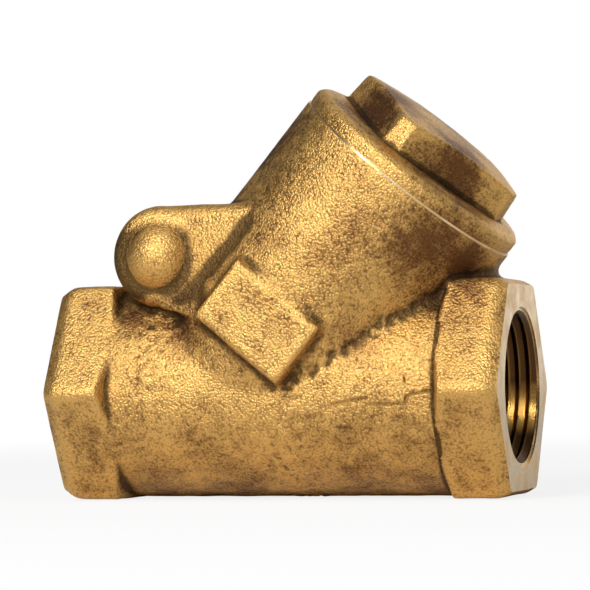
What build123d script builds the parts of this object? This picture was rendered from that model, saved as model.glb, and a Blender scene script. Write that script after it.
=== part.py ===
"""Bronze swing check valve: threaded hexagon ends, a leaning bonnet with a screwed cap, a hinged soft-seated disc."""

import os
from math import atan2, cos, degrees, radians, sin

from build123d import *

os.makedirs("parts", exist_ok=True)

# The pipe axis is X, and the flow runs along +X from the inlet face at X = 0
body_length = 76.2
barrel_radius = 17.6
hexagon_flats = 35.4
hexagon_corner_round = 1.6
inlet_hexagon_width = 9.4
outlet_hexagon_width = 9.4
shoulder_length = 1.1
inlet_slope_length = 2.1
inlet_slope_inset = 1.4
outlet_slope_length = 1.7
outlet_slope_inset = 1.0

# Waterways
pipe_thread_radius = 12.8
pipe_thread_length = 14.0
thread_mouth_chamfer = 0.3
waterway_radius = 11.4
bowl_radius = 13.2

# Bonnet: a branch that leans towards the outlet, measured along its own axis from the pipe axis
bonnet_foot_x = 28.55
bonnet_lean = 40.0
bonnet_radius = 20.7
bonnet_foot_radius = 17.0
bonnet_taper_top = 13.0
rim_height = 45.65
rim_chamfer = 0.35
crease_round = 1.6

# Seat and chamber inside the bonnet
seat_height = 5.0
seat_ring_rise = 1.4
seat_bore_radius = 9.6
seat_ring_radius = 12.0
diaphragm_wall = 2.6
partition_wall = 3.3
chamber_foot_radius = 14.6
chamber_radius = 16.2
chamber_cone_bottom = 13.0
chamber_cone_top = 23.0

# Cap
cap_thread_radius = 16.8
cap_thread_clearance = 0.08
cap_plug_length = 8.2
cap_thread_relief = 1.0
cap_plug_bore_radius = 13.2
cap_top_wall = 3.6
cap_flange_radius = 20.5
cap_flange_height = 2.8
cap_flange_round = 0.8
cap_crown_rise = 0.65
cap_crown_radius = 17.2
cap_head_flats = 25.9
cap_head_draft = 5.0
cap_head_height = 6.6
cap_head_corner_cut = 3.2
cap_head_turn = -5.8
cap_head_crown_radius = 102.0
cap_head_bore_radius = 8.5

# Hinge across the body, with its closed end at the front and a plug at the back
hinge_x = 18.8
hinge_z = 22.25
hinge_boss_radius = 8.4
hinge_boss_front = 14.7
hinge_boss_back = 14.7
hinge_boss_round = 2.4
dome_radius = 5.9
dome_centre_depth = 2.5
plug_boss_radius = 6.6
plug_boss_height = 1.5
pin_radius = 1.75
pin_hole_clearance = 0.04
pin_front = 11.3
pin_chamfer = 0.3
pin_end_gap = 0.2
pocket_radius = 5.2
pocket_half_width = 6.4
pocket_roof_along = 3.64
pocket_roof_up = 3.64

# Web between the hinge boss and the bonnet, wider towards the bonnet and towards its foot
web_start_half_width = 13.6
web_start_foot_widening = 0.7
web_end_x = 38.0
web_end_half_width = 16.2
web_end_foot_widening = 4.0
web_end_foot_z = 9.0
web_top_round = 2.6

# Plug behind the hinge pin
plug_thread_radius = 3.3
plug_thread_clearance = 0.06
plug_thread_length = 6.2
plug_head_flats = 9.0
plug_head_height = 3.6
plug_head_chamfer = 0.7

# Rating plate cast on the front
plate_centre_along = -0.4
plate_centre_up = 14.2
plate_width = 17.5
plate_height = 11.5
plate_front = 21.0
plate_depth = 7.0
plate_draft = 8.0

# Disc assembly, stacked along the bonnet axis
seat_gap = 0.1
soft_disc_radius = 11.4
soft_disc_thickness = 2.4
soft_disc_clearance = 0.08
holder_radius = 12.8
holder_plate_thickness = 2.5
holder_lip_depth = 1.6
holder_edge_chamfer = 0.5
stem_radius = 3.0
stud_radius = 2.4
stud_hole_clearance = 0.06
keeper_radius = 5.6
keeper_thickness = 0.8
disc_nut_flats = 7.5
disc_nut_height = 2.2
stud_end_reach = 0.5

# Hanger
hanger_play = 0.25
stem_hole_clearance = 0.08
hanger_boss_radius = 5.4
hanger_boss_height = 3.5
hub_radius = 4.1
hub_half_width = 6.0
hub_hole_clearance = 0.08
arm_half_width = 3.4
washer_play = 0.15
washer_radius = 4.9
washer_thickness = 0.7
hanger_nut_flats = 8.5
hanger_nut_height = 2.6
stem_end_reach = 0.7
stem_end_chamfer = 0.4

# Frames of the leaning bonnet: along is towards the outlet in the cap's plane, up is out of the cap
along = Vector(cos(radians(bonnet_lean)), 0, -sin(radians(bonnet_lean)))
outward = Vector(sin(radians(bonnet_lean)), 0, cos(radians(bonnet_lean)))
bonnet_foot = Vector(bonnet_foot_x, 0, 0)
bonnet_plane = Plane(origin=bonnet_foot, x_dir=along, z_dir=outward)
bonnet_section = Plane(origin=bonnet_foot, x_dir=along, z_dir=(0, -1, 0))
bonnet_axis = Axis(bonnet_foot, outward)
pipe_axis = Axis((0, 0, 0), (1, 0, 0))
hinge_plane = Plane(origin=(hinge_x, 0, hinge_z), x_dir=(1, 0, 0), z_dir=(0, -1, 0))
hinge_from_foot = Vector(hinge_x, 0, hinge_z) - bonnet_foot
hinge_along = hinge_from_foot.dot(along)
hinge_up = hinge_from_foot.dot(outward)

# Each end as its face's place, the way into the body, its hexagon's width and its rim's slope
end_faces = (
    (0, 1, inlet_hexagon_width, inlet_slope_length, inlet_slope_inset),
    (body_length, -1, outlet_hexagon_width, outlet_slope_length, outlet_slope_inset),
)
web_sections = (
    (hinge_x, web_start_half_width, web_start_foot_widening, hinge_z - hinge_boss_radius),
    (web_end_x, web_end_half_width, web_end_foot_widening, web_end_foot_z),
)

# Heights of the disc assembly above the pipe axis, along the bonnet axis
chamber_floor = seat_height - seat_ring_rise
soft_disc_bottom = seat_height + seat_gap
soft_disc_top = soft_disc_bottom + soft_disc_thickness
holder_top = soft_disc_top + holder_plate_thickness
keeper_bottom = soft_disc_bottom - keeper_thickness
disc_nut_bottom = keeper_bottom - disc_nut_height
hanger_boss_bottom = holder_top + hanger_play
hanger_boss_top = hanger_boss_bottom + hanger_boss_height
washer_bottom = hanger_boss_top + washer_play
washer_top = washer_bottom + washer_thickness
stem_end = washer_top + hanger_nut_height + stem_end_reach
cap_plug_bottom = rim_height - cap_plug_length
cap_head_foot = rim_height + cap_flange_height + cap_crown_rise
cap_head_top = cap_head_foot + cap_head_height
overlong = 3 * body_length
body_thread_radius = cap_thread_radius + cap_thread_clearance
hexagon_corner_radius = hexagon_flats / 2 / cos(radians(30))
plug_face = hinge_boss_back + plug_boss_height
plug_end = plug_face - plug_thread_length
pin_back = plug_end - pin_end_gap


# Hexagon ends: a sloped rim at the face, and a cone where the hexagon meets the barrel
hexagon_ends = []
for face_x, inward, hexagon_width, slope_length, slope_inset in end_faces:
    face_plane = Plane(origin=(face_x, 0, 0), x_dir=(0, 1, 0), z_dir=(inward, 0, 0))
    with BuildPart() as hexagon_end:
        with BuildSketch(face_plane.offset(slope_length)) as hexagon:
            RegularPolygon(hexagon_flats / 2, 6, major_radius=False)
            fillet(vertices(), hexagon_corner_round)
        extrude(amount=hexagon_width + shoulder_length - slope_length)
        extrude(hexagon.sketch, amount=-slope_length, taper=degrees(atan2(slope_inset, slope_length)))
        with BuildSketch(Plane(origin=(face_x, 0, 0), x_dir=(inward, 0, 0), z_dir=(0, -inward, 0))):
            with BuildLine():
                Polyline(
                    (0, 0),
                    (0, hexagon_corner_radius),
                    (hexagon_width, hexagon_corner_radius),
                    (hexagon_width + shoulder_length, barrel_radius),
                    (hexagon_width + shoulder_length, 0),
                    close=True,
                )
            make_face()
        revolve(axis=pipe_axis, mode=Mode.INTERSECT)
    hexagon_ends.append(hexagon_end.part)

# Web from the hinge boss to the bonnet, flaring towards the bonnet and towards its foot
with BuildPart() as web:
    for web_x, half_width, foot_widening, foot_z in web_sections:
        with BuildSketch(Plane.YZ.offset(web_x)):
            with BuildLine():
                Polyline(
                    (-half_width, hinge_z + hinge_boss_radius),
                    (half_width, hinge_z + hinge_boss_radius),
                    (half_width + foot_widening, foot_z),
                    (-half_width - foot_widening, foot_z),
                    close=True,
                )
            make_face()
            fillet(vertices().group_by(Axis.Y)[-1], web_top_round)
    loft()

# Hinge boss: a bar across the body, domed at the closed front end and faced at the back for its plug
with BuildPart() as hinge_boss:
    with BuildSketch(hinge_plane.offset(-hinge_boss_back)):
        Circle(hinge_boss_radius)
    extrude(amount=hinge_boss_front + hinge_boss_back)
    fillet(edges().filter_by(GeomType.CIRCLE), hinge_boss_round)
    with BuildSketch(hinge_plane.offset(-plug_face)):
        Circle(plug_boss_radius)
    extrude(amount=plug_boss_height + hinge_boss_round)
    with Locations(hinge_plane.offset(hinge_boss_front - dome_centre_depth)):
        Sphere(dome_radius)

# Water space of the inlet: the passage, the bowl under the seat and the seat bore
with BuildPart() as inlet_space:
    with BuildSketch(Plane.YZ):
        Circle(waterway_radius)
    extrude(amount=bonnet_foot_x)
    with Locations(bonnet_foot):
        Sphere(bowl_radius)
    split(bisect_by=bonnet_plane.offset(chamber_floor - diaphragm_wall), keep=Keep.BOTTOM)
    with BuildSketch(bonnet_plane):
        Circle(seat_bore_radius)
    extrude(amount=seat_height)

# Water space of the outlet, ended by the slanted partition beside the seat
with BuildPart() as outlet_space:
    with BuildSketch(Plane.YZ.offset(bonnet_foot_x)):
        Circle(waterway_radius)
    extrude(amount=body_length - bonnet_foot_x)
    with BuildSketch(bonnet_section):
        with BuildLine():
            Polyline(
                (-body_length, chamber_floor),
                (bowl_radius + partition_wall, chamber_floor),
                (bowl_radius + partition_wall, -body_length),
                (-body_length, -body_length),
                close=True,
            )
        make_face()
    extrude(amount=body_length, both=True, mode=Mode.SUBTRACT)

# Chamber above the seat, with the cap's thread bore at its mouth
with BuildPart() as chamber:
    with BuildSketch(bonnet_section):
        with BuildLine():
            Polyline(
                (0, chamber_floor),
                (chamber_foot_radius, chamber_floor),
                (chamber_foot_radius, chamber_cone_bottom),
                (chamber_radius, chamber_cone_top),
                (chamber_radius, cap_plug_bottom - cap_thread_relief),
                (body_thread_radius, cap_plug_bottom - cap_thread_relief),
                (body_thread_radius, rim_height),
                (0, rim_height),
                close=True,
            )
        make_face()
    revolve(axis=bonnet_axis)
    with BuildSketch(bonnet_section):
        with Locations((hinge_along, hinge_up)):
            Circle(pocket_radius)
        with BuildLine():
            Polyline(
                (hinge_along, hinge_up - pocket_radius),
                (0, hinge_up - pocket_radius),
                (0, hinge_up - hinge_along),
                (hinge_along - pocket_roof_along, hinge_up + pocket_roof_up),
                close=True,
            )
        make_face()
    extrude(amount=pocket_half_width, both=True)

# Barrel and bonnet, both overlong while the crease between them is rounded, then cut back
with BuildPart() as shell:
    with BuildSketch(Plane.YZ.offset(-body_length)):
        Circle(barrel_radius)
    extrude(amount=overlong)
    with BuildSketch(bonnet_section):
        with BuildLine():
            Polyline(
                (0, overlong),
                (bonnet_radius, overlong),
                (bonnet_radius, bonnet_taper_top),
                (bonnet_foot_radius, 0),
            )
            RadiusArc((bonnet_foot_radius, 0), (0, -bonnet_foot_radius), bonnet_foot_radius)
            Line((0, -bonnet_foot_radius), (0, overlong))
        make_face()
    revolve(axis=bonnet_axis)
    fillet(edges().filter_by(GeomType.BSPLINE), crease_round)
    with BuildSketch(bonnet_section):
        with BuildLine():
            Polyline(
                (0, rim_height),
                (bonnet_radius - rim_chamfer, rim_height),
                (bonnet_radius, rim_height - rim_chamfer),
                (bonnet_radius, rim_height),
                (overlong, rim_height),
                (overlong, overlong),
                (0, overlong),
                close=True,
            )
        make_face()
    revolve(axis=bonnet_axis, mode=Mode.SUBTRACT)
    for face_x, inward, _, slope_length, _ in end_faces:
        with BuildSketch(Plane(origin=(face_x, 0, 0), x_dir=(0, 1, 0), z_dir=(-inward, 0, 0)).offset(-slope_length)):
            Circle(hexagon_corner_radius)
        extrude(amount=overlong, mode=Mode.SUBTRACT)

# Cast body with its seat, threads' bores and hinge holes
with BuildPart() as body:
    add(shell.part)
    add(web.part)
    add(hinge_boss.part)
    for hexagon_end_part in hexagon_ends:
        add(hexagon_end_part)
    with BuildSketch(bonnet_section.offset(plate_front)):
        with Locations((plate_centre_along, plate_centre_up)):
            Rectangle(plate_width, plate_height)
    extrude(amount=-plate_depth, taper=-plate_draft)
    add(inlet_space.part, mode=Mode.SUBTRACT)
    add(outlet_space.part, mode=Mode.SUBTRACT)
    add(chamber.part, mode=Mode.SUBTRACT)
    with BuildSketch(bonnet_section):
        with Locations(((seat_bore_radius + seat_ring_radius) / 2, (chamber_floor + seat_height) / 2)):
            Rectangle(seat_ring_radius - seat_bore_radius, seat_ring_rise)
    revolve(axis=bonnet_axis)
    for face_x, inward, *_ in end_faces:
        with BuildSketch(Plane(origin=(face_x, 0, 0), x_dir=(inward, 0, 0), z_dir=(0, -inward, 0))):
            with BuildLine():
                Polyline(
                    (0, 0),
                    (0, pipe_thread_radius + thread_mouth_chamfer),
                    (thread_mouth_chamfer, pipe_thread_radius),
                    (pipe_thread_length, pipe_thread_radius),
                    (pipe_thread_length, 0),
                    close=True,
                )
            make_face()
        revolve(axis=pipe_axis, mode=Mode.SUBTRACT)
    with BuildSketch(hinge_plane.offset(pin_front + pin_end_gap)):
        Circle(pin_radius + pin_hole_clearance)
    extrude(amount=-pin_front - pin_end_gap - plug_end, mode=Mode.SUBTRACT)
    with BuildSketch(hinge_plane.offset(-plug_face)):
        Circle(plug_thread_radius + plug_thread_clearance)
    extrude(amount=plug_thread_length, mode=Mode.SUBTRACT)
body.part.label = "body"
export_step(body.part, "parts/body.step")

# Head of the cap: a drafted square with cut corners under a slight crown
with BuildPart() as cap_head:
    with BuildSketch(bonnet_plane.offset(cap_head_foot - cap_crown_rise)):
        Rectangle(cap_head_flats, cap_head_flats, rotation=45 + cap_head_turn)
        chamfer(vertices(), cap_head_corner_cut * sin(radians(45)))
    extrude(amount=cap_head_height + cap_crown_rise, taper=cap_head_draft)
    with Locations(bonnet_foot + outward * (cap_head_top - cap_head_crown_radius)):
        Sphere(cap_head_crown_radius, mode=Mode.INTERSECT)

# Cap: threaded plug, flange on the rim, and the head
with BuildPart() as cap:
    with BuildSketch(bonnet_section):
        with BuildLine():
            Polyline(
                (0, cap_plug_bottom),
                (cap_thread_radius, cap_plug_bottom),
                (cap_thread_radius, rim_height),
                (cap_flange_radius - rim_chamfer, rim_height),
                (cap_flange_radius, rim_height + rim_chamfer),
                (cap_flange_radius, rim_height + cap_flange_height - cap_flange_round),
                (cap_flange_radius - cap_flange_round, rim_height + cap_flange_height),
                (cap_crown_radius, cap_head_foot),
                (0, cap_head_foot),
                close=True,
            )
        make_face()
    revolve(axis=bonnet_axis)
    add(cap_head.part)
    with BuildSketch(bonnet_section):
        with BuildLine():
            Polyline(
                (0, cap_plug_bottom),
                (cap_plug_bore_radius, cap_plug_bottom),
                (cap_plug_bore_radius, rim_height),
                (cap_head_bore_radius, cap_head_foot),
                (cap_head_bore_radius, cap_head_foot + cap_head_height - cap_top_wall),
                (0, cap_head_foot + cap_head_height - cap_top_wall),
                close=True,
            )
        make_face()
    revolve(axis=bonnet_axis, mode=Mode.SUBTRACT)
cap.part.label = "cap"
export_step(cap.part, "parts/cap.step")

# Hinge pin
with BuildPart() as hinge_pin:
    with BuildSketch(hinge_plane.offset(pin_front)):
        Circle(pin_radius)
    extrude(amount=-pin_front - pin_back)
    chamfer(edges(), pin_chamfer)
hinge_pin.part.label = "hinge_pin"
export_step(hinge_pin.part, "parts/hinge_pin.step")

# Plug that closes the hinge pin's hole at the back
with BuildPart() as side_plug:
    with BuildSketch(hinge_plane.offset(-plug_end)):
        Circle(plug_thread_radius)
    extrude(amount=-plug_thread_length)
    with BuildSketch(hinge_plane.offset(-plug_face)):
        RegularPolygon(plug_head_flats / 2, 6, major_radius=False)
    extrude(amount=-plug_head_height)
    chamfer(faces().sort_by(Axis.Y)[-1].edges(), plug_head_chamfer)
side_plug.part.label = "side_plug"
export_step(side_plug.part, "parts/side_plug.step")

# Disc holder: a cup for the soft disc, a stem up through the hanger and a stud down for its nut
with BuildPart() as disc_holder:
    with BuildSketch(bonnet_section):
        with BuildLine():
            Polyline(
                (0, disc_nut_bottom - stud_end_reach),
                (stud_radius - stem_end_chamfer, disc_nut_bottom - stud_end_reach),
                (stud_radius, disc_nut_bottom - stud_end_reach + stem_end_chamfer),
                (stud_radius, soft_disc_top),
                (soft_disc_radius + soft_disc_clearance, soft_disc_top),
                (soft_disc_radius + soft_disc_clearance, soft_disc_top - holder_lip_depth),
                (holder_radius, soft_disc_top - holder_lip_depth),
                (holder_radius, holder_top - holder_edge_chamfer),
                (holder_radius - holder_edge_chamfer, holder_top),
                (stem_radius, holder_top),
                (stem_radius, stem_end - stem_end_chamfer),
                (stem_radius - stem_end_chamfer, stem_end),
                (0, stem_end),
                close=True,
            )
        make_face()
    revolve(axis=bonnet_axis)
disc_holder.part.label = "disc_holder"
export_step(disc_holder.part, "parts/disc_holder.step")

# Soft disc that seals on the seat
with BuildPart() as soft_disc:
    with BuildSketch(bonnet_plane.offset(soft_disc_bottom)):
        Circle(soft_disc_radius)
        Circle(stud_radius + stud_hole_clearance, mode=Mode.SUBTRACT)
    extrude(amount=soft_disc_thickness)
soft_disc.part.label = "soft_disc"
export_step(soft_disc.part, "parts/soft_disc.step")

# Washer and nut that keep the soft disc in its cup
with BuildPart() as disc_washer:
    with BuildSketch(bonnet_plane.offset(keeper_bottom)):
        Circle(keeper_radius)
        Circle(stud_radius + stud_hole_clearance, mode=Mode.SUBTRACT)
    extrude(amount=keeper_thickness)
disc_washer.part.label = "disc_washer"
export_step(disc_washer.part, "parts/disc_washer.step")

with BuildPart() as disc_nut:
    with BuildSketch(bonnet_plane.offset(disc_nut_bottom)):
        RegularPolygon(disc_nut_flats / 2, 6, major_radius=False)
        Circle(stud_radius + stud_hole_clearance, mode=Mode.SUBTRACT)
    extrude(amount=disc_nut_height)
disc_nut.part.label = "disc_nut"
export_step(disc_nut.part, "parts/disc_nut.step")

# Hanger: a hub on the hinge pin and an arm to the boss that carries the disc's stem
with BuildPart() as hanger:
    with BuildSketch(bonnet_section):
        with BuildLine():
            Polyline(
                (hinge_along, hinge_up + hub_radius),
                (-hanger_boss_radius, hanger_boss_top),
                (0, hanger_boss_top),
                (0, hanger_boss_bottom),
                (hinge_along + hub_radius, hanger_boss_bottom),
                (hinge_along, hinge_up),
                close=True,
            )
        make_face()
    extrude(amount=arm_half_width, both=True)
    with BuildSketch(bonnet_section.offset(-hub_half_width)):
        with Locations((hinge_along, hinge_up)):
            Circle(hub_radius)
    extrude(amount=2 * hub_half_width)
    with BuildSketch(bonnet_plane.offset(hanger_boss_bottom)):
        Circle(hanger_boss_radius)
    extrude(amount=hanger_boss_height)
    with BuildSketch(bonnet_section.offset(-hub_half_width)):
        with Locations((hinge_along, hinge_up)):
            Circle(pin_radius + hub_hole_clearance)
    extrude(amount=2 * hub_half_width, mode=Mode.SUBTRACT)
    with BuildSketch(bonnet_plane.offset(hanger_boss_bottom)):
        Circle(stem_radius + stem_hole_clearance)
    extrude(amount=hanger_boss_height, mode=Mode.SUBTRACT)
hanger.part.label = "hanger"
export_step(hanger.part, "parts/hanger.step")

# Washer and nut on the stem above the hanger
with BuildPart() as hanger_washer:
    with BuildSketch(bonnet_plane.offset(washer_bottom)):
        Circle(washer_radius)
        Circle(stem_radius + stud_hole_clearance, mode=Mode.SUBTRACT)
    extrude(amount=washer_thickness)
hanger_washer.part.label = "hanger_washer"
export_step(hanger_washer.part, "parts/hanger_washer.step")

with BuildPart() as hanger_nut:
    with BuildSketch(bonnet_plane.offset(washer_top)):
        RegularPolygon(hanger_nut_flats / 2, 6, major_radius=False)
        Circle(stem_radius + stud_hole_clearance, mode=Mode.SUBTRACT)
    extrude(amount=hanger_nut_height)
hanger_nut.part.label = "hanger_nut"
export_step(hanger_nut.part, "parts/hanger_nut.step")
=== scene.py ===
from math import cos, exp, pi, radians, sin

import bmesh
import bpy
import numpy as np
from mathutils import Matrix, Vector, noise


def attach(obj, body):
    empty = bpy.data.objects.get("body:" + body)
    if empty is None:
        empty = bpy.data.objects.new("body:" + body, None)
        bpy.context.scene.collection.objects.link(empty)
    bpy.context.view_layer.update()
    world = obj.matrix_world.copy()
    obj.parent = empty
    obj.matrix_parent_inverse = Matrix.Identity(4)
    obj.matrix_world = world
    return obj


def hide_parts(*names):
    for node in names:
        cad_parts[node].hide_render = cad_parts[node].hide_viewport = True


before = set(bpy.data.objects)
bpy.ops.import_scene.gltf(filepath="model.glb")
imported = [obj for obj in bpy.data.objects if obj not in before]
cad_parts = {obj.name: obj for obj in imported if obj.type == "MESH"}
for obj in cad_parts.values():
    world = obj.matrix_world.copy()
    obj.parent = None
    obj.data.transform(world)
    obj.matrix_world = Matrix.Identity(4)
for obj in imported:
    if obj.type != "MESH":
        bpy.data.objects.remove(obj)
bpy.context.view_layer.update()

mm = 0.001
xAxis = Vector((1, 0, 0))
yAxis = Vector((0, 1, 0))

# Places that the looks share with the CAD
valve = {
    "length": 76.2 * mm,
    "mouthRadius": 13.1 * mm,
    "boreDepth": 14 * mm,
    "hexagonHalf": 17.7 * mm,
    "barrelRadius": 17.6 * mm,
    "bonnetFoot": Vector((28.55 * mm, 0, 0)),
    "bonnetLean": radians(40),
    "bonnetRadius": 20.7 * mm,
    "bonnetMouthRadius": 16.88 * mm,
    "rimHeight": 45.65 * mm,
    "rimBand": 0.35 * mm,
    "rimRadius": 20.4 * mm,
    "capSeatRadius": 20.15 * mm,
    "hinge": Vector((18.8 * mm, 0, 22.25 * mm)),
    "plugFace": 16.2 * mm,
    "plugHoleRadius": 3.36 * mm,
    "plugBossRadius": 6.9 * mm,
}
whole = 1.0  # a reach that takes in the whole valve
# How close counts as the same point, plane and ring, then as on a cut, at its rim and beside it
samePoint = 0.002 * mm
samePlane = 0.01 * mm
sameRing = 0.05 * mm
onCut = 0.001 * mm
cutRim = 0.02 * mm
besideCut = 3 * mm
outward = Matrix.Rotation(valve["bonnetLean"], 3, "Y") @ Vector((0, 0, 1))
along = Matrix.Rotation(valve["bonnetLean"], 3, "Y") @ xAxis
inletPoint = Vector((0, 0, 0))
outletPoint = Vector((valve["length"], 0, 0))
rimPoint = valve["bonnetFoot"] + outward * valve["rimHeight"]
plugPoint = valve["hinge"] + yAxis * valve["plugFace"]


# Camera
cameraPlace = {
    "location": Vector((181.14, -477.775, 2.872)) * mm,
    "right": Vector((0.95759, 0.28776, -0.014585)),
    "up": Vector((0.021422, -0.020624, 0.999556)),
    "back": Vector((0.28733, -0.95748, -0.025915)),
    "lens": 182.87,
    "sensor": 36,
    "nearest": 0.01,
}


def placeCamera(p):
    camera = bpy.data.objects.new("camera", bpy.data.cameras.new("camera"))
    bpy.context.scene.collection.objects.link(camera)
    turn = Matrix((p["right"], p["up"], p["back"])).transposed().to_4x4()
    camera.matrix_world = Matrix.Translation(p["location"]) @ turn
    camera.data.lens = p["lens"]
    camera.data.sensor_width = p["sensor"]
    camera.data.clip_start = p["nearest"]
    bpy.context.scene.camera = camera


placeCamera(cameraPlace)
print("camera placed")


# Meshes
def addPiece(name, bm, body, nodes=(), materials=()):
    mesh = bpy.data.meshes.new(name)
    bm.to_mesh(mesh)
    bm.free()
    piece = bpy.data.objects.new(name, mesh)
    bpy.context.scene.collection.objects.link(piece)
    for material in materials:
        mesh.materials.append(material)
    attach(piece, body)
    if nodes:
        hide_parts(*nodes)
    print(name, "has", len(mesh.vertices), "points")


def dress(faces, material):
    for face in faces:
        face.material_index = material
        face.smooth = True


def mergedCopy(node):
    bm = bmesh.new()
    bm.from_mesh(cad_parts[node].data)
    bmesh.ops.remove_doubles(bm, verts=bm.verts, dist=samePoint)
    dress(bm.faces, 0)
    return bm


def fromAxis(point, centre, axis):
    offset = point - centre
    height = offset.dot(axis)
    return (offset - axis * height).length, height


def isOnRing(point, ring):
    centre, axis, radius = ring
    distance, height = fromAxis(point, centre, axis)
    return abs(height) < samePlane and abs(distance - radius) < sameRing


def facesInside(bm, seed, rings):
    # walks from the face nearest the seed and stops at the mouths' rings
    onRing = {v for v in bm.verts if any(isOnRing(v.co, ring) for ring in rings)}
    start = min(bm.faces, key=lambda face: (face.calc_center_median() - seed).length)
    found, waiting = {start}, [start]
    while waiting:
        for edge in waiting.pop().edges:
            if onRing.issuperset(edge.verts):
                continue
            for face in edge.link_faces:
                if face not in found:
                    found.add(face)
                    waiting.append(face)
    return found


def keepFaces(bm, kept):
    others = [face for face in bm.faces if face not in kept]
    bmesh.ops.delete(bm, geom=others, context="FACES")


def splitCopy(bm, found):
    # a copy without the faces found, with its mouths closed
    bm.faces.index_update()
    inside = {face.index for face in found}
    other = bm.copy()
    keepFaces(other, {face for face in other.faces if face.index not in inside})
    holes = [edge for edge in other.edges if edge.is_boundary]
    bmesh.ops.holes_fill(other, edges=holes, sides=0)
    return other


def standProud(bm, planes, over):
    # moves each flat face outwards, so that it can be cut back after the skin is rounded
    for v in bm.verts:
        for point, normal, slope, reach in planes:
            distance, height = fromAxis(v.co, point, normal)
            if abs(height) < samePlane and distance < reach:
                axisPoint = point + normal * height
                narrower = 1 - slope * over / valve["hexagonHalf"]
                v.co = axisPoint + (v.co - axisPoint) * narrower + normal * over


def openEdges(bm, point, axis, within=whole):
    # the open edges that lie in a plane
    edges = []
    for edge in bm.edges:
        if edge.is_boundary:
            places = [fromAxis(v.co, point, axis) for v in edge.verts]
            if all(abs(height) < cutRim and distance < within for distance, height in places):
                edges.append(edge)
    return edges


def cutAway(bm, geometry, point, normal):
    # takes off what lies beyond the plane
    bmesh.ops.bisect_plane(bm, geom=geometry, dist=onCut, plane_co=point,
                           plane_no=normal, clear_outer=True)


def faceOff(bm, point, normal, within=whole):
    # cuts the skin flat and gives the cut's outline
    cut = set()
    for face in bm.faces:
        distance, height = fromAxis(face.calc_center_median(), point, normal)
        if distance < within and abs(height) < besideCut:
            cut.update((face, *face.edges, *face.verts))
    cutAway(bm, list(cut), point, normal)
    return openEdges(bm, point, normal, within)


def addRing(bm, point, axis, radius, segments):
    turn = axis.to_track_quat("Z", "Y").to_matrix().to_4x4()
    place = Matrix.Translation(point) @ turn
    ring = bmesh.ops.create_circle(bm, segments=segments, radius=radius, matrix=place)
    return list({edge for v in ring["verts"] for edge in v.link_edges})


def sharpen(edges):
    for edge in edges:
        edge.smooth = False


def bridge(bm, first, second, material):
    dress(bmesh.ops.bridge_loops(bm, edges=first + second)["faces"], material)
    sharpen(first + second)


def fillFlat(bm, outer, inner, material):
    # a flat face, with a hole where there is an inner loop in its plane
    made = bmesh.ops.triangle_fill(bm, edges=outer + inner, use_beauty=True)["geom"]
    dress([item for item in made if isinstance(item, bmesh.types.BMFace)], material)
    sharpen(outer + inner)


def join(bm, other):
    mesh = bpy.data.meshes.new("joining")
    other.to_mesh(mesh)
    other.free()
    bm.from_mesh(mesh)
    bpy.data.meshes.remove(mesh)


def remeshed(bm, voxel):
    mesh = bpy.data.meshes.new("blank")
    bm.to_mesh(mesh)
    bm.free()
    blank = bpy.data.objects.new("blank", mesh)
    bpy.context.scene.collection.objects.link(blank)
    remesh = blank.modifiers.new("remesh", "REMESH")
    remesh.mode = "VOXEL"
    remesh.voxel_size = voxel
    remesh.use_smooth_shade = True
    finished = blank.evaluated_get(bpy.context.evaluated_depsgraph_get())
    result = bpy.data.meshes.new_from_object(finished)
    bpy.data.objects.remove(blank)
    bpy.data.meshes.remove(mesh)
    return result


def loaded(mesh):
    bm = bmesh.new()
    bm.from_mesh(mesh)
    bpy.data.meshes.remove(mesh)
    dress(bm.faces, 0)
    return bm


def readVectors(mesh, name):
    values = np.empty(len(mesh.vertices) * 3)
    mesh.vertices.foreach_get(name, values)
    return values.reshape(-1, 3)


def swellAt(point, p):
    # a broad swell with a finer one on it
    share, finer = p["ripple"]
    broad = noise.noise(point / p["swellSize"])
    return p["swell"] * (broad + share * noise.noise(point / (finer * p["swellSize"])))


def weathered(blank, p, form):
    # rounds the whole skin, fills its hollow creases, then gives it the sand's unevenness
    gentle, strong = 0.5, 0.9
    mesh = remeshed(blank, p["voxel"])
    count = len(mesh.vertices)
    ends = np.empty(len(mesh.edges) * 2, int)
    mesh.edges.foreach_get("vertices", ends)
    first, second = ends.reshape(-1, 2).T
    here, there = np.concatenate((first, second)), np.concatenate((second, first))
    degree = np.bincount(here, minlength=count)[:, None]
    points = readVectors(mesh, "co")
    normals = readVectors(mesh, "normal")

    def pull():
        # from each point to the mean of its neighbours
        sums = [np.bincount(here, weights=points[there, k], minlength=count) for k in range(3)]
        return np.stack(sums, 1) / degree - points

    for step in range(p["rounding"]):
        points += gentle * pull()
    soft = form["soft"](points)[:, None]
    for step in range(p["softRounds"]):
        points += gentle * pull() * soft
    filling = form["filling"](points)[:, None]
    for step in range(p["hollowRounds"]):
        change = pull()
        isHollow = (change * normals).sum(1) > 0
        points += change * isHollow[:, None] * filling
    mesh.vertices.foreach_set("co", points.ravel())
    mesh.update()
    lift = np.array([form["lift"](Vector(point)) for point in points])
    points += readVectors(mesh, "normal") * lift[:, None]
    mesh.vertices.foreach_set("co", points.ravel())
    mesh.update()

    # how deep each point lies below its surroundings, for the painted shade in the corners
    normals = readVectors(mesh, "normal")
    start = points.copy()
    for step in range(p["hollowReach"]):
        points += strong * pull()
    depth = ((points - start) * normals).sum(1) / mm
    # painted shade deeper than the hollows alone give, where the form has it
    if "extraShade" in form:
        depth += form["extraShade"](start)
    mesh.attributes.new("hollow", "FLOAT", "POINT").data.foreach_set("value", depth)
    return loaded(mesh)


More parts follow.
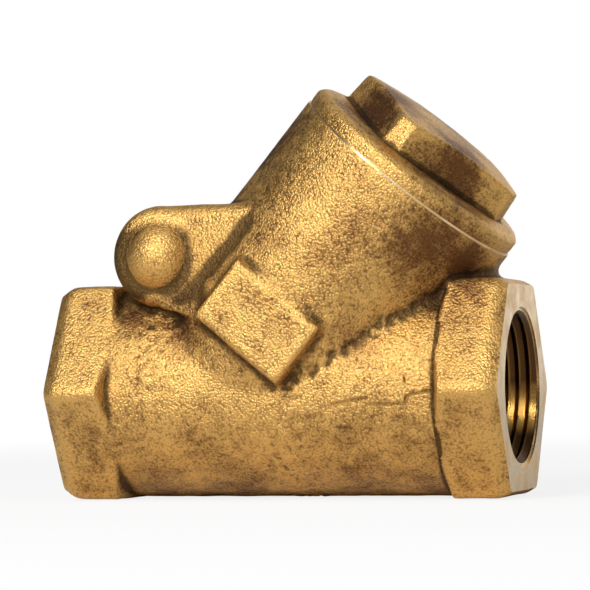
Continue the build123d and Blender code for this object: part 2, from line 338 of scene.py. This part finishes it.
# Materials
class Wire:
    # a socket whose operators add Math nodes
    def __init__(self, graph, socket):
        self.graph, self.socket = graph, socket

    def math(self, operation, *values):
        inputs = dict(enumerate((self, *values)))
        return self.graph.node("ShaderNodeMath", {"operation": operation}, inputs)

    def ragged(self, noise, amount):
        # noise lies on both sides of 0.5, so an edge shifts both ways
        return self + (noise - 0.5) * amount

    def __add__(self, other):
        return self.math("ADD", other)

    def __sub__(self, other):
        return self.math("SUBTRACT", other)

    def __rsub__(self, other):
        return self * -1 + other

    def __mul__(self, other):
        return self.math("MULTIPLY", other)

    def __truediv__(self, other):
        return self.math("DIVIDE", other)

    __radd__, __rmul__ = __add__, __mul__


def blend(fields, shares):
    first, *others = [fields[name] * share for name, share in shares.items()]
    return sum(others, first)


class Graph:
    def __init__(self, name, owner=None):
        self.material = owner or bpy.data.materials.new(name)
        self.material.use_nodes = True
        self.tree = self.material.node_tree
        self.tree.nodes.clear()

    def node(self, kind, settings=None, values=None, output=0):
        made = self.tree.nodes.new(kind)
        for name, setting in (settings or {}).items():
            setattr(made, name, setting)
        for name, value in (values or {}).items():
            if isinstance(value, Wire):
                self.tree.links.new(value.socket, made.inputs[name])
            else:
                made.inputs[name].default_value = value
        return Wire(self, made.outputs[output]) if made.outputs else None

    def coords(self):
        return self.node("ShaderNodeTexCoord", output="Object")

    def noise(self, vector, size, detail=3, roughness=0.55):
        values = {"Vector": vector, "Scale": 1 / size, "Detail": detail, "Roughness": roughness}
        return self.node("ShaderNodeTexNoise", None, values)

    def vector(self, operation, first, second=(0, 0, 0), output=0):
        values = {0: first, 1: second}
        return self.node("ShaderNodeVectorMath", {"operation": operation}, values, output)

    def height(self, place):
        return self.node("ShaderNodeSeparateXYZ", None, {"Vector": place}, output="Z")

    def fromPipe(self, place):
        # how far a place lies from the pipe's axis
        return self.vector("LENGTH", self.vector("MULTIPLY", place, (0, 1, 1)), output="Value")

    def between(self, value, low, high, lowest=0, highest=1):
        # from lowest at low to highest at high, with soft ends
        values = {"Value": value, "From Min": low, "From Max": high}
        values |= {"To Min": lowest, "To Max": highest}
        return self.node("ShaderNodeMapRange", {"interpolation_type": "SMOOTHSTEP"}, values)

    def spread(self, field, lowest, highest):
        # noise seldom leaves the range from 0.3 to 0.7
        return self.between(field, 0.3, 0.7, lowest, highest)

    def mix(self, factor, first, second):
        values = {0: factor, 6: first, 7: second}
        return self.node("ShaderNodeMix", {"data_type": "RGBA"}, values, output=2)

    def bump(self, height, distance):
        return self.node("ShaderNodeBump", None, {"Height": height, "Distance": distance})

    def finish(self, colour, metallic, roughness, normal):
        values = {"Base Color": colour, "Metallic": metallic}
        values |= {"Roughness": roughness, "Normal": normal}
        return self.surface(self.node("ShaderNodeBsdfPrincipled", None, values))

    def surface(self, shader):
        isWorld = isinstance(self.material, bpy.types.World)
        kind = "ShaderNodeOutput" + ("World" if isWorld else "Material")
        self.node(kind, None, {"Surface": shader})
        return self.material


castBronze = {
    "dark": (0.04, 0.02, 0.009, 1),
    "brown": (0.20, 0.085, 0.027, 1),
    "gold": (0.76, 0.45, 0.135, 1),
    "patch": 9 * mm,
    "mottle": 1.6 * mm,
    "grain": 0.4 * mm,
    "fine": 0.14 * mm,
    "sway": (1.1, 0.7),  # how far the grains are bent, in grains, and how many bends to a grain
    "bump": 0.13 * mm,
    "metallic": 0.92,
    "roughness": (0.37, 0.56),
    # the shares that make the colour lighter or darker, and those that raise the surface
    "light": {"patch": 0.7, "mottle": 0.45, "fine": 0.2, "grain": -0.25, "worn": 0.15,
              "stainAndShade": -0.36},
    "relief": {"fine": 0.4, "grain": -0.9, "mottle": 0.9},
    "dull": {"mottle": 1, "hollowShade": 0.5, "stainAndShade": 0.2},
    "lightRange": (0.2, 0.7),
    "dullRange": (0.3, 0.9),
    # where the hollows' painted shade, the edges' wear and the creases start and are full, then how
    # ragged
    "hollowShade": (0.03, 0.2),
    "worn": (0.02, 0.12),
    "creases": (0.5, 0.9),
    "ragged": {"hollowShade": 0.08, "worn": 0.05, "creases": 0.5, "shadePatches": 3 * mm},
    # how dark the grain's creases, the painted shade in the hollows and the painted shade in
    # patches and towards the bottom are
    "creaseShade": 0.3,
    "shadeShares": {"hollowShade": 0.8, "stainAndShade": 0.15},
    # painted shade patches: the middle of each patch, how far it reaches and how strong it is
    "shadePatches": (
        (Vector((54.5, -8.2, 46.5)) * mm, 10.5 * mm, 0.95),
        (Vector((68.5, -10, 34.8)) * mm, 10.5 * mm, 0.95),
        (Vector((40, -14, 46)) * mm, 9 * mm, 0.4),
        (Vector((66, -17, 24)) * mm, 17 * mm, 0.6),
        (Vector((70.5, -11, 19.5)) * mm, 7 * mm, 1.0),
        (Vector((24, -14.5, 10.5)) * mm, 7.5 * mm, 0.7),
        (Vector((15, -12.5, 12.5)) * mm, 6 * mm, 0.8),
        (Vector((52, 17, 34)) * mm, 16 * mm, 0.4),
        (Vector((38, 24, 10)) * mm, 22 * mm, 0.3),
        (Vector((10, -5, -17)) * mm, 20 * mm, 0.25),
        (Vector((28.5, -8, 31)) * mm, 7.5 * mm, 0.9),
        (Vector((35, -8, 40.5)) * mm, 7.5 * mm, 0.8),
    ),
    "shadePatchCore": 0.1,  # the share of a patch's reach that is full
    # painted shade towards the bottom: where it is full, where it ends and how strong it is
    "underside": (-20 * mm, 4 * mm, 0.16),
}


def makeCastBronze(name, p):
    # sand grains with dark creases between them, painted shade in the hollows, in patches and
    # towards the bottom, and wear on the edges
    g = Graph(name)
    place = g.coords()
    patch = g.noise(place, p["patch"], 2)
    mottle = g.noise(place, p["mottle"], 3)
    fine = g.noise(place, p["fine"], 2, 0.6)
    far, often = p["sway"]
    values = {"Vector": place, "Scale": often / p["grain"], "Detail": 2}
    sway = g.node("ShaderNodeTexNoise", None, values, output="Color")
    bent = g.vector("ADD", place, g.vector("MULTIPLY", sway, (far * p["grain"],) * 3))
    values = {"Vector": bent, "Scale": 1 / p["grain"]}
    grain = g.node("ShaderNodeTexVoronoi", {"feature": "F1"}, values)
    hollow = g.node("ShaderNodeAttribute", {"attribute_name": "hollow"}, output="Fac")
    ragged = p["ragged"]
    # painted shade: darker where a point lies deeper below its surroundings
    hollowShade = g.between(hollow.ragged(mottle, ragged["hollowShade"]), *p["hollowShade"])
    worn = g.between((hollow * -1).ragged(fine, ragged["worn"]), *p["worn"])
    creases = g.between(grain.ragged(fine, ragged["creases"]), *p["creases"])
    # painted shade, darker towards the bottom and in patches where shade falls
    full, end, amount = p["underside"]
    stainAndShade = g.between(g.height(place), full, end, amount, 0)
    for middle, reach, amount in p["shadePatches"]:
        away = g.vector("DISTANCE", place, middle, "Value").ragged(mottle, ragged["shadePatches"])
        shadePatches = g.between(away, p["shadePatchCore"] * reach, reach, amount, 0)
        stainAndShade = stainAndShade.math("MAXIMUM", shadePatches)
    fields = {"patch": patch, "mottle": mottle, "fine": fine, "grain": grain}
    fields |= {"worn": worn, "stainAndShade": stainAndShade, "hollowShade": hollowShade}
    light = g.between(blend(fields, p["light"]), *p["lightRange"])
    colour = g.mix(light, p["brown"], p["gold"])
    colour = g.mix(creases * p["creaseShade"], colour, p["dark"])
    colour = g.mix(blend(fields, p["shadeShares"]), colour, p["dark"])
    roughness = g.between(blend(fields, p["dull"]), *p["dullRange"], *p["roughness"])
    bump = g.bump(blend(fields, p["relief"]), p["bump"])
    return g.finish(colour, p["metallic"], roughness, bump)


turnedBronze = {
    "pale": (0.92, 0.73, 0.46, 1),
    "warm": (0.74, 0.48, 0.21, 1),
    "patch": 5 * mm,
    "rings": 0.25 * mm,
    "scratches": 0.1 * mm,
    "light": {"wear": 0.7, "rings": 0.3},
    "relief": {"rings": 0.8, "fine": 0.3},
    "wornRange": (0.35, 0.65),
    "roughness": (0.24, 0.4),
    "bump": 0.012 * mm,
}


def makeTurnedBronze(name, p):
    # fine tool rings lie around the pipe's axis
    g = Graph(name)
    place = g.coords()
    wear = g.noise(place, p["patch"], 3)
    fine = g.noise(place, p["scratches"], 2)
    values = {"W": g.fromPipe(place) / p["rings"], "Scale": 1.0, "Detail": 2}
    rings = g.node("ShaderNodeTexNoise", {"noise_dimensions": "1D"}, values)
    fields = {"wear": wear, "rings": rings, "fine": fine}
    light = g.between(blend(fields, p["light"]), *p["wornRange"])
    colour = g.mix(light, p["pale"], p["warm"])
    bump = g.bump(blend(fields, p["relief"]), p["bump"])
    return g.finish(colour, 1.0, g.spread(wear, *p["roughness"]), bump)


threadBronze = {
    "bright": (0.92, 0.52, 0.13, 1),
    "deep": (0.09, 0.042, 0.015, 1),
    # painted highlight band: its height, and how far from it the highlight starts to fade and is
    # gone
    "band": (-3.6 * mm, 1.4 * mm, 5 * mm),
    "ragged": 3 * mm,
    # painted highlight on the threads' crests: the radii between which it ends, and how strong it
    # is
    "crest": (11.5 * mm, 12.2 * mm, 0.4),
    "speckle": (0.2, 0.6, 0.7, 1),
    "patch": 3.5 * mm,
    "scratches": 0.22 * mm,
    "roughness": (0.2, 0.34),
    "bump": 0.02 * mm,
}


def makeThreadBronze(name, p):
    # dark all over, with a painted highlight band across the bore and painted highlights on the
    # threads' crests
    g = Graph(name)
    place = g.coords()
    wear = g.noise(place, p["patch"], 3)
    fine = g.noise(place, p["scratches"], 3)
    middle, near, far = p["band"]
    # painted highlight band, broken into speckles
    away = (g.height(place) - middle).math("ABSOLUTE").ragged(wear, p["ragged"])
    band = g.between(away, near, far, 1, 0) * g.between(fine, *p["speckle"])
    # painted highlight, lighter at the crests nearest the axis
    inner, outer, shine = p["crest"]
    crest = g.between(g.fromPipe(place), inner, outer, shine, 0)
    colour = g.mix(band.math("MAXIMUM", crest), p["deep"], p["bright"])
    return g.finish(colour, 1.0, g.spread(wear, *p["roughness"]), g.bump(fine, p["bump"]))


sealPlastic = {
    "pale": (0.74, 0.71, 0.63, 1),
    "stained": (0.46, 0.40, 0.30, 1),
    "stains": 4 * mm,
    "stainRange": (0.45, 0.7),
    "grain": 0.3 * mm,
    "roughness": (0.42, 0.55),
    "bump": 0.02 * mm,
}


def makeSealPlastic(name, p):
    g = Graph(name)
    place = g.coords()
    stainAndShade = g.noise(place, p["stains"], 4)
    fine = g.noise(place, p["grain"], 2)
    colour = g.mix(g.between(stainAndShade, *p["stainRange"]), p["pale"], p["stained"])
    return g.finish(colour, 0.0, g.spread(fine, *p["roughness"]), g.bump(fine, p["bump"]))


pinSteel = {
    "pale": (0.56, 0.55, 0.52, 1),
    "dull": (0.30, 0.28, 0.25, 1),
    "patch": 2.5 * mm,
    "scratches": 0.12 * mm,
    "wornRange": (0.35, 0.65),
    "roughness": (0.22, 0.36),
    "bump": 0.01 * mm,
}


def makePinSteel(name, p):
    g = Graph(name)
    place = g.coords()
    wear = g.noise(place, p["patch"], 3)
    fine = g.noise(place, p["scratches"], 2)
    colour = g.mix(g.between(wear, *p["wornRange"]), p["pale"], p["dull"])
    return g.finish(colour, 1.0, g.spread(wear, *p["roughness"]), g.bump(fine, p["bump"]))


castMaterial = makeCastBronze("castBronze", castBronze)
turnedMaterial = makeTurnedBronze("turnedBronze", turnedBronze)
threadMaterial = makeThreadBronze("threadBronze", threadBronze)
plasticMaterial = makeSealPlastic("sealPlastic", sealPlastic)
steelMaterial = makePinSteel("pinSteel", pinSteel)
print("materials made")


# The inner pieces and the side plug keep their CAD shapes
dressed = {
    "hanger": castMaterial,
    "side_plug": turnedMaterial,
    "disc_holder": turnedMaterial,
    "disc_washer": turnedMaterial,
    "disc_nut": turnedMaterial,
    "hanger_washer": turnedMaterial,
    "hanger_nut": turnedMaterial,
    "hinge_pin": steelMaterial,
    "soft_disc": plasticMaterial,
}
for node, material in dressed.items():
    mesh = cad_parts[node].data
    mesh.materials.clear()
    mesh.materials.append(material)
print("inner pieces dressed")


# Threads
pipeThread = {
    "pitch": 1.814 * mm,
    "root": 13.0 * mm,
    "crest": 11.95 * mm,
    "flat": 0.12 * mm,
    "taper": 1 / 32,
    "mouthDepth": 0.4 * mm,
    "steps": 72,
    "spareTurns": 3,
    "weld": 0.003 * mm,
}


def makeThread(endPoint, inward, p):
    # one pitch of profile, wound inwards, then cut at the mouth and at the bore's end
    bm = bmesh.new()
    pitch, flat = p["pitch"], p["flat"] / 2
    start = endPoint - inward * pitch
    roots = [(0, p["root"]), (flat, p["root"])]
    crests = [(pitch / 2 - flat, p["crest"]), (pitch / 2 + flat, p["crest"])]
    ends = [(pitch - flat, p["root"]), (pitch, p["root"])]
    points = [bm.verts.new(start + inward * step + Vector((0, 0, radius)))
              for step, radius in roots + crests + ends]
    lines = [bm.edges.new(pair) for pair in zip(points, points[1:])]
    turns = int(valve["boreDepth"] / pitch) + p["spareTurns"]
    bmesh.ops.spin(bm, geom=points + lines, cent=start, axis=inward,
                   dvec=inward * pitch / p["steps"], angle=2 * pi * turns, steps=p["steps"] * turns)
    bmesh.ops.remove_doubles(bm, verts=bm.verts, dist=p["weld"])
    for v in bm.verts:
        radius, depth = fromAxis(v.co, endPoint, inward)
        axisPoint = endPoint + inward * depth
        v.co = axisPoint + (v.co - axisPoint) * (1 - max(depth, 0) * p["taper"] / radius)
    for depth, side in ((p["mouthDepth"], -1), (valve["boreDepth"], 1)):
        everything = [*bm.verts, *bm.edges, *bm.faces]
        cutAway(bm, everything, endPoint + inward * depth, inward * side)
    dress(bm.faces, 2)
    return bm


# Body
bodySkin = {
    "voxel": 0.43 * mm,
    "rounding": 2,
    "softRounds": 12,
    "hollowRounds": 6,
    "hollowReach": 16,
    "proud": 1.5 * mm,
    "endSlopes": (1.4 / 2.1, 1.0 / 1.7),
    # the creases between these distances from the ends are filled this much
    "filled": (13 * mm, 12.5 * mm, 0.6),
    # where the ends' extra rounding starts, from the middle, and how soon it is full
    "softEnds": (32.5 * mm, 2.5 * mm),
    "swell": 0.07 * mm,
    "swellSize": 4.5 * mm,
    "ripple": (0.4, 0.35),  # shares of the swell's height and size
    # lumps along the crease between barrel and bonnet
    "flash": 0.28 * mm,
    "flashReach": 3.2 * mm,
    "flashRun": (14 * mm, 64 * mm),
    "flashLumps": (1.3 * mm, 0.6 * mm, 0.6),  # coarse and fine size, and the fine ones' share
    # groove beside the outlet's hexagon: place, width, depth, then how far round and up it goes
    "seam": (65.75 * mm, 0.35 * mm, 0.32 * mm),
    "seamReach": (17.8 * mm, 14 * mm),
    # how dark the painted shade in the groove beside the outlet's hexagon is
    "seamShade": 0.25,
    # painted shade on the boss: nearest and farthest from the hinge's axis, direction, spread and
    # depth
    "bossShade": (
        (5.2 * mm, 9.6 * mm, radians(195), radians(44), 1.4),
        (4.4 * mm, 6.8 * mm, radians(-50), radians(45), 0.12),
    ),
    "bossFront": (11 * mm, 3 * mm),
    # painted shade along the web's crease: reach and depth, its lowest and farthest place, its fade
    # above
    "webShade": (0.75 * mm, 0.24),
    "webEnds": (10 * mm, 36 * mm),
    "webFade": (31 * mm, 2 * mm),
    # the web's length and top, then its height, half width and flare, each with its gain
    "webLength": 19.2 * mm,
    "webTop": 30.65 * mm,
    "webHeight": (16.8 * mm, 4.85 * mm),
    "webHalf": (13.6 * mm, 2.6 * mm),
    "webFlare": (0.7 * mm, 3.3 * mm),
    # a place on the chamber's wall: how far up the bonnet, and how far out
    "chamberWall": (25 * mm, 16 * mm),
    # bores whose faces make way for the threads: their radii, and how near the bottom they end
    "threadBore": (12.6 * mm, 13.4 * mm, 0.05 * mm),
    "rimSteps": 160,
    # how far out to look for the open edges of each mouth
    "plugBossReach": 7.4 * mm,
    "plugHoleReach": 4 * mm,
    "boreReach": 14 * mm,
    "bonnetBoreReach": 17.5 * mm,
}


def bodyFilling(points):
    # the notches beside the hexagons stay sharp
    x = points[:, 0]
    fromInlet, fromOutlet, amount = bodySkin["filled"]
    return np.where((x > fromInlet) & (x < valve["length"] - fromOutlet), amount, 0.0)


def bodySoft(points):
    # the hexagons' outer rims and corners are rounder than the rest
    start, full = bodySkin["softEnds"]
    return np.clip((np.abs(points[:, 0] - valve["length"] / 2) - start) / full, 0, 1)


def shadeBesideHexagon(x, y, z):
    # painted shade along the groove beside the outlet's hexagon
    seam, width = bodySkin["seam"][:2]
    radius, top = bodySkin["seamReach"]
    isBeside = (np.hypot(y, z) < radius) & (z < top)
    return bodySkin["seamShade"] * np.exp(-((x - seam) / width) ** 2) * isBeside


def shadeOnBoss(x, y, z):
    # painted shade in a ring round the boss, strongest at its lower left and on the dome's lower
    # right
    dx, dz = x - valve["hinge"].x, z - valve["hinge"].z
    distance, angle = np.hypot(dx, dz), np.arctan2(dz, dx)
    start, full = bodySkin["bossFront"]
    front = np.clip((-y - start) / full, 0, 1) ** 2
    extraShade = np.zeros(len(x))
    for near, far, toward, spread, depth in bodySkin["bossShade"]:
        turned = (angle - toward + pi) % (2 * pi) - pi
        ring = np.sin(pi * np.clip((distance - near) / (far - near), 0, 1))
        extraShade += depth * ring * np.exp(-(turned / spread) ** 2) * front
    return extraShade


def shadeAlongWeb(points):
    # painted shade along the crease at the web's front
    # the web's front stands farther out towards the bonnet and towards its foot
    p = bodySkin
    x, y, z = points.T
    axis = np.array(outward)
    offset = points - np.array(valve["bonnetFoot"])
    fromBonnet = np.linalg.norm(offset - np.outer(offset @ axis, axis), axis=1)
    toBonnet = np.clip((x - valve["hinge"].x) / p["webLength"], 0, 1)

    def grown(sizes):
        return sizes[0] + sizes[1] * toBonnet

    toFoot = (p["webTop"] - z) / grown(p["webHeight"])
    webFront = grown(p["webHalf"]) + grown(p["webFlare"]) * toFoot
    away = np.hypot(fromBonnet - valve["bonnetRadius"], y + webFront)
    reach, depth = p["webShade"]
    lowest, farthest = p["webEnds"]
    isOnWeb = (y < 0) & (z > lowest) & (x < farthest)
    top, fade = p["webFade"]
    return depth * np.exp(-(away / reach) ** 2) * isOnWeb * np.clip((top - z) / fade, 0, 1)


def bodyExtraShade(points):
    # shade deeper than the hollows alone give
    return shadeBesideHexagon(*points.T) + shadeOnBoss(*points.T) + shadeAlongWeb(points)


def bodyLift(point):
    p = bodySkin
    lift = swellAt(point, p)
    fromPipe, run = fromAxis(point, inletPoint, xAxis)
    fromBonnet, height = fromAxis(point, valve["bonnetFoot"], outward)
    crease = abs(fromPipe - valve["barrelRadius"]) + abs(fromBonnet - valve["bonnetRadius"])
    nearCrease = max(0.0, 1 - crease / p["flashReach"])
    start, end = p["flashRun"]
    if nearCrease and start < run < end:
        coarse, fine, share = p["flashLumps"]
        lump = noise.noise(point / coarse) + share * noise.noise(point / fine)
        lift += p["flash"] * nearCrease * lump
    seam, width, depth = p["seam"]
    radius, top = p["seamReach"]
    if fromPipe < radius and point.z < top:
        lift -= depth * exp(-((run - seam) / width) ** 2)
    return lift


def isThreadBore(face):
    distance, run = fromAxis(face.calc_center_median(), inletPoint, xAxis)
    depth = min(run, valve["length"] - run)
    low, high, above = bodySkin["threadBore"]
    return low < distance < high and depth < valve["boreDepth"] - above


def closeEnd(bm, outline, endPoint, inward, p):
    # the end's turned face, its recess and its thread
    mouth = addRing(bm, endPoint, inward, valve["mouthRadius"], p["steps"])
    fillFlat(bm, outline, mouth, 1)
    recess = endPoint + inward * p["mouthDepth"]
    shoulder = addRing(bm, recess, inward, valve["mouthRadius"], p["steps"])
    bridge(bm, mouth, shoulder, 1)
    join(bm, makeThread(endPoint, inward, p))
    fillFlat(bm, openEdges(bm, recess, inward, bodySkin["boreReach"]), [], 1)


def closeRim(bm, outline, low, p):
    # a narrow turned band under the cap, then the face that the cap seats on
    rimLow = addRing(bm, low, outward, valve["rimRadius"], p["rimSteps"])
    rimTop = addRing(bm, rimPoint, outward, valve["rimRadius"], p["rimSteps"])
    fillFlat(bm, outline, rimLow, 1)
    bridge(bm, rimLow, rimTop, 1)
    fillFlat(bm, rimTop, openEdges(bm, rimPoint, outward, p["bonnetBoreReach"]), 1)


def makeBody():
    p = bodySkin
    ends = ((inletPoint, xAxis), (outletPoint, -xAxis))
    rings = [
        (inletPoint, xAxis, valve["mouthRadius"]),
        (outletPoint, xAxis, valve["mouthRadius"]),
        (rimPoint, outward, valve["bonnetMouthRadius"]),
        (plugPoint, yAxis, valve["plugHoleRadius"]),
    ]
    up, out = p["chamberWall"]
    chamberWall = valve["bonnetFoot"] + outward * up + along * out
    passages = mergedCopy("body")
    inner = facesInside(passages, chamberWall, rings)
    blank = splitCopy(passages, inner)
    print("body faces", len(passages.faces), "of which inside", len(inner))
    inletSlope, outletSlope = p["endSlopes"]
    planes = (
        (inletPoint, -xAxis, inletSlope, whole),
        (outletPoint, xAxis, outletSlope, whole),
        (rimPoint, outward, 0.0, whole),
        (plugPoint, yAxis, 0.0, valve["plugBossRadius"]),
    )
    standProud(blank, planes, p["proud"])
    form = {"filling": bodyFilling, "soft": bodySoft, "lift": bodyLift, "extraShade": bodyExtraShade}
    bm = weathered(blank, p, form)

    # water passages and thread bores join the skin at the mouths
    keepFaces(passages, {face for face in inner if not isThreadBore(face)})
    inletOutline = faceOff(bm, inletPoint, -xAxis)
    outletOutline = faceOff(bm, outletPoint, xAxis)
    rimLow = rimPoint - outward * valve["rimBand"]
    rimOutline = faceOff(bm, rimLow, outward)
    plugOutline = faceOff(bm, plugPoint, yAxis, p["plugBossReach"])
    for outline, (endPoint, inward) in zip((inletOutline, outletOutline), ends):
        closeEnd(bm, outline, endPoint, inward, pipeThread)
    join(bm, passages)
    for endPoint, inward in ends:
        bottom = endPoint + inward * valve["boreDepth"]
        fillFlat(bm, openEdges(bm, bottom, inward, p["boreReach"]), [], 2)
    closeRim(bm, rimOutline, rimLow, p)
    fillFlat(bm, plugOutline, openEdges(bm, plugPoint, yAxis, p["plugHoleReach"]), 1)
    bmesh.ops.recalc_face_normals(bm, faces=bm.faces)
    print("body open edges", sum(edge.is_boundary for edge in bm.edges), "faces", len(bm.faces))
    materials = [castMaterial, turnedMaterial, threadMaterial]
    addPiece("castBody", bm, "valve", ["body"], materials)


makeBody()


# Cap
capSkin = {
    "voxel": 0.3 * mm,
    "rounding": 1,
    "softRounds": 10,
    "hollowRounds": 1,
    "hollowReach": 24,
    "proud": 1.5 * mm,
    "filled": 0.6,
    # where the head's extra rounding starts above the rim, and how soon it is full
    "softHead": (8 * mm, 1.5 * mm),
    "swell": 0.05 * mm,
    "swellSize": 4 * mm,
    "ripple": (0.5, 0.3),  # shares of the swell's height and size
    # a place on the thread's wall: how far up from the rim, and how far out
    "threadWall": (-8 * mm, 16.8 * mm),
}


def capFilling(points):
    return np.full(len(points), capSkin["filled"])


def capSoft(points):
    # the head's top edges and corners
    start, full = capSkin["softHead"]
    height = (points - np.array(rimPoint)) @ np.array(outward)
    return np.clip((height - start) / full, 0, 1)


def capLift(point):
    return swellAt(point, capSkin)


def makeCap():
    p = capSkin
    under = mergedCopy("cap")
    up, out = p["threadWall"]
    threadWall = rimPoint + outward * up + along * out
    hidden = facesInside(under, threadWall, [(rimPoint, outward, valve["capSeatRadius"])])
    blank = splitCopy(under, hidden)
    standProud(blank, [(rimPoint, -outward, 0.0, whole)], p["proud"])
    form = {"filling": capFilling, "soft": capSoft, "lift": capLift}
    bm = weathered(blank, p, form)
    faceOff(bm, rimPoint, -outward)
    keepFaces(under, hidden)
    dress(under.faces, 1)
    join(bm, under)
    fillFlat(bm, openEdges(bm, rimPoint, outward), [], 1)
    bmesh.ops.recalc_face_normals(bm, faces=bm.faces)
    print("cap open edges", sum(edge.is_boundary for edge in bm.edges), "faces", len(bm.faces))
    addPiece("castCap", bm, "valve", ["cap"], [castMaterial, turnedMaterial])


makeCap()


# Flow arrow, cast in low relief along the front of the barrel
flowArrow = {
    "tail": 48.4 * mm,
    "notch": 1.4 * mm,
    "feather": (5.8 * mm, 6.8 * mm),
    "featherHalf": 2.1 * mm,
    "shaftHalf": 0.95 * mm,
    "neck": 61.0 * mm,
    "headHalf": 2.1 * mm,
    "tip": 65.2 * mm,
    "sink": 0.5 * mm,
    "rise": 0.7 * mm,
    "voxel": 0.13 * mm,
    "rounding": (4, 0.5),  # rounds of smoothing and how strong they are
    # painted shade at the arrow's foot
    "hollowShade": (0.3, 0.35 * mm),  # its depth at the foot, and the height where it ends
    "uneven": (0.06 * mm, 1.2 * mm),  # the lumps' height and size
}


def makeArrow(p):
    # drawn flat, raised, rounded and then wrapped round the barrel
    tail, back, front = p["tail"], *p["feather"]
    half = [
        (tail + p["notch"], 0),
        (tail, p["featherHalf"]),
        (tail + back, p["featherHalf"]),
        (tail + front, p["shaftHalf"]),
        (p["neck"], p["shaftHalf"]),
        (p["neck"], p["headHalf"]),
        (p["tip"], 0),
    ]
    outline = half + [(x, -z) for x, z in half[-2:0:-1]]
    bm = bmesh.new()
    points = [bm.verts.new((x, -p["sink"], z)) for x, z in outline]
    face = bmesh.ops.contextual_create(bm, geom=points)["faces"]
    raised = bmesh.ops.extrude_face_region(bm, geom=face, use_keep_orig=True)["geom"]
    upper = [item for item in raised if isinstance(item, bmesh.types.BMVert)]
    bmesh.ops.translate(bm, vec=(0, p["sink"] + p["rise"], 0), verts=upper)
    bmesh.ops.triangulate(bm, faces=bm.faces)
    bmesh.ops.recalc_face_normals(bm, faces=bm.faces)
    bm = loaded(remeshed(bm, p["voxel"]))
    rounds, factor = p["rounding"]
    for step in range(rounds):
        bmesh.ops.smooth_vert(bm, verts=bm.verts, factor=factor, use_axis_x=True,
                              use_axis_y=True, use_axis_z=True)
    hollow = bm.verts.layers.float.new("hollow")
    # painted shade, darker towards the arrow's foot
    depth, top = p["hollowShade"]
    lump, size = p["uneven"]
    for v in bm.verts:
        x, height, z = v.co
        v[hollow] = depth * max(0.0, 1 - max(height, 0.0) / top)
        radius = valve["barrelRadius"] + height + lump * noise.noise(v.co / size)
        angle = z / valve["barrelRadius"]
        v.co = (x, -radius * cos(angle), radius * sin(angle))
    bmesh.ops.recalc_face_normals(bm, faces=bm.faces)
    addPiece("flowArrow", bm, "valve", (), [castMaterial])


makeArrow(flowArrow)


# Stage
studio = {
    "middle": Vector((0.038, 0, 0.015)),
    # each lamp's power, place and size
    "key": (4.4, (-0.12, -0.62, 0.36), 0.26),
    "fill": (0.12, (-0.1, -0.7, -0.01), 0.3),
    "top": (0.6, (0.0, -0.1, 0.65), 0.4),
    "mouth": (0.4, (0.38, -0.39, 0.3), 0.09),
    "floor": -17.9 * mm,
    "floorHalf": 3.0,
    "floorPatch": 40 * mm,
    "floorPale": ((0.86, 0.86, 0.86, 1), (0.92, 0.92, 0.92, 1)),
    # how white the camera sees the floor, near the valve and farther out
    "floorFade": (120 * mm, 500 * mm, 0.84, 1),
    # the room's light, from the dim side to the bright one
    "bright": Vector((0.45, 0.55, 0.7)).normalized(),
    "room": (-0.5, 1.0, 0.03, 0.2),
    # the pale backdrop behind the valve, seen only in reflections
    "behind": Vector((0.52, 0.85, 0.08)).normalized(),
    "backdrop": (0.45, 0.92),
}


def addLamp(name, watts, place, size):
    data = bpy.data.lights.new(name, "AREA")
    data.energy = watts
    data.size = size
    lamp = bpy.data.objects.new(name, data)
    bpy.context.scene.collection.objects.link(lamp)
    lamp.location = place
    lamp.rotation_euler = (Vector(place) - studio["middle"]).to_track_quat("Z", "Y").to_euler()


def lightPath(g, name):
    return g.node("ShaderNodeLightPath", output=name)


def makeFloor(p):
    bm = bmesh.new()
    under = Matrix.Translation((p["middle"].x, 0, p["floor"]))
    bmesh.ops.create_grid(bm, x_segments=1, y_segments=1, size=p["floorHalf"], matrix=under)
    mesh = bpy.data.meshes.new("floor")
    bm.to_mesh(mesh)
    bm.free()
    floor = bpy.data.objects.new("floor", mesh)
    bpy.context.scene.collection.objects.link(floor)
    g = Graph("floor")
    place = g.coords()
    pale = g.mix(g.noise(place, p["floorPatch"], 2), *p["floorPale"])
    plain = g.node("ShaderNodeBsdfDiffuse", None, {"Color": pale})
    white = g.node("ShaderNodeEmission", None, {"Color": (1, 1, 1, 1), "Strength": 1.0})
    away = g.vector("LENGTH", place, output="Value")
    seen = lightPath(g, "Is Camera Ray") * g.between(away, *p["floorFade"])
    g.surface(g.node("ShaderNodeMixShader", None, {0: seen, 1: plain, 2: white}))
    mesh.materials.append(g.material)


def makeWorld(p):
    # white where it is seen, dim where it lights, with a pale backdrop in reflections
    world = bpy.data.worlds.new("world")
    bpy.context.scene.world = world
    world.use_nodes = True
    g = Graph("world", world)
    direction = g.node("ShaderNodeTexCoord", output="Generated")
    toBright = g.vector("DOT_PRODUCT", direction, p["bright"], "Value")
    toBehind = g.vector("DOT_PRODUCT", direction, p["behind"], "Value")
    room = g.between(toBright, *p["room"])
    backdrop = lightPath(g, "Is Glossy Ray") * g.between(toBehind, *p["backdrop"])
    seen = lightPath(g, "Is Camera Ray").math("MAXIMUM", lightPath(g, "Is Transmission Ray"))
    strength = room + (1 - room) * seen.math("MAXIMUM", backdrop)
    values = {"Color": (1, 1, 1, 1), "Strength": strength}
    g.surface(g.node("ShaderNodeBackground", None, values))


makeFloor(studio)
for lampName in ("key", "fill", "top", "mouth"):
    addLamp(lampName, *studio[lampName])
makeWorld(studio)
print("stage made")
bpy.context.scene.view_settings.view_transform = "Standard"
